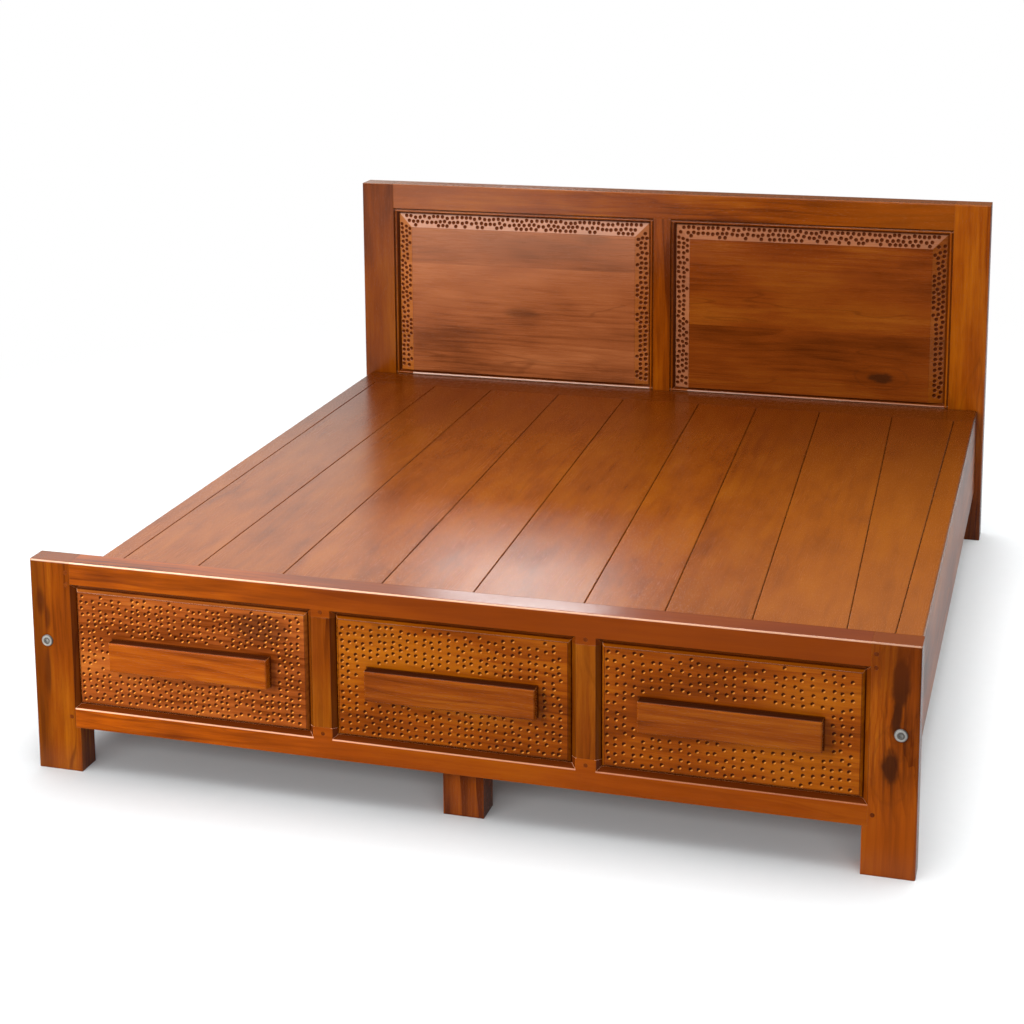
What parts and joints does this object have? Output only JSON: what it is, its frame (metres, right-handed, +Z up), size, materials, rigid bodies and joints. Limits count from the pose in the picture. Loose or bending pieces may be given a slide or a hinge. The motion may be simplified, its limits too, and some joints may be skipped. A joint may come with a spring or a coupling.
{
  "type": "bed frame",
  "caption": "Double bed frame in solid wood: low footboard with raised panels and grip bars, tall panelled headboard, plank side rails, closed board deck and centre legs.",
  "frame": {"origin": "on the floor, at the middle of the whole part's length and width", "axes": "+X across the bed to the right as seen from the footboard, +Y from the footboard to the headboard, +Z up"},
  "size_m": [1.9, 2.229, 0.992],
  "materials": {
    "head_frame_wood": "satin varnish, sawn and planed solid wood",
    "head_panel_wood": "satin varnish, sawn and planed solid wood",
    "foot_frame_wood": "satin varnish, sawn and planed solid wood",
    "foot_panel_wood": "satin varnish, sawn and planed solid wood",
    "foot_bar_wood": "satin varnish, sawn and planed solid wood",
    "side_rail_wood": "satin varnish, sawn and planed solid wood",
    "deck_border_wood": "satin varnish, sawn and planed solid wood",
    "deck_board_wood": "satin varnish, sawn and planed solid wood",
    "under_deck_wood": "planed solid wood, unvarnished",
    "peg_wood": "dark end grain under satin varnish",
    "bright_steel": "bright zinc plate",
    "screw_steel": "zinc plate"
  },
  "bodies": {
    "root": {"head_post_left": "head_frame_wood", "head_post_right": "head_frame_wood", "head_top_rail": "head_frame_wood", "head_bottom_rail": "head_frame_wood", "head_muntin": "head_frame_wood", "head_panel_left": "head_panel_wood", "head_panel_right": "head_panel_wood", "foot_post_left": "foot_frame_wood", "foot_post_right": "foot_frame_wood", "foot_top_rail": "foot_frame_wood", "foot_bottom_rail": "foot_frame_wood", "foot_muntin_left": "foot_frame_wood", "foot_muntin_right": "foot_frame_wood", "foot_panel_left": "foot_panel_wood", "foot_panel_middle": "foot_panel_wood", "foot_panel_right": "foot_panel_wood", "foot_bar_left": "foot_bar_wood", "foot_bar_middle": "foot_bar_wood", "foot_bar_right": "foot_bar_wood", "side_rail_left": "side_rail_wood", "side_rail_right": "side_rail_wood", "ledger_left": "under_deck_wood", "ledger_right": "under_deck_wood", "deck_border_left": "deck_border_wood", "deck_border_right": "deck_border_wood", "deck_head_strip": "deck_border_wood", "deck_foot_strip": "deck_border_wood", "deck_board_1": "deck_board_wood", "deck_board_2": "deck_board_wood", "deck_board_3": "deck_board_wood", "deck_board_4": "deck_board_wood", "deck_board_5": "deck_board_wood", "deck_board_6": "deck_board_wood", "deck_board_7": "deck_board_wood", "deck_board_8": "deck_board_wood", "deck_board_9": "deck_board_wood", "centre_beam": "under_deck_wood", "centre_leg_foot": "under_deck_wood", "centre_leg_middle": "under_deck_wood", "centre_leg_head": "under_deck_wood", "end_bearer_foot": "under_deck_wood", "cross_bearer_1": "under_deck_wood", "cross_bearer_2": "under_deck_wood", "cross_bearer_3": "under_deck_wood", "cross_bearer_4": "under_deck_wood", "end_bearer_head": "under_deck_wood", "joint_pegs": "peg_wood", "bed_bolts": "bright_steel", "barrel_nuts": "bright_steel", "rail_dowels": "peg_wood", "ledger_screws": "screw_steel", "bearer_screws": "screw_steel", "beam_screws": "screw_steel"}
  },
  "joints": []
}
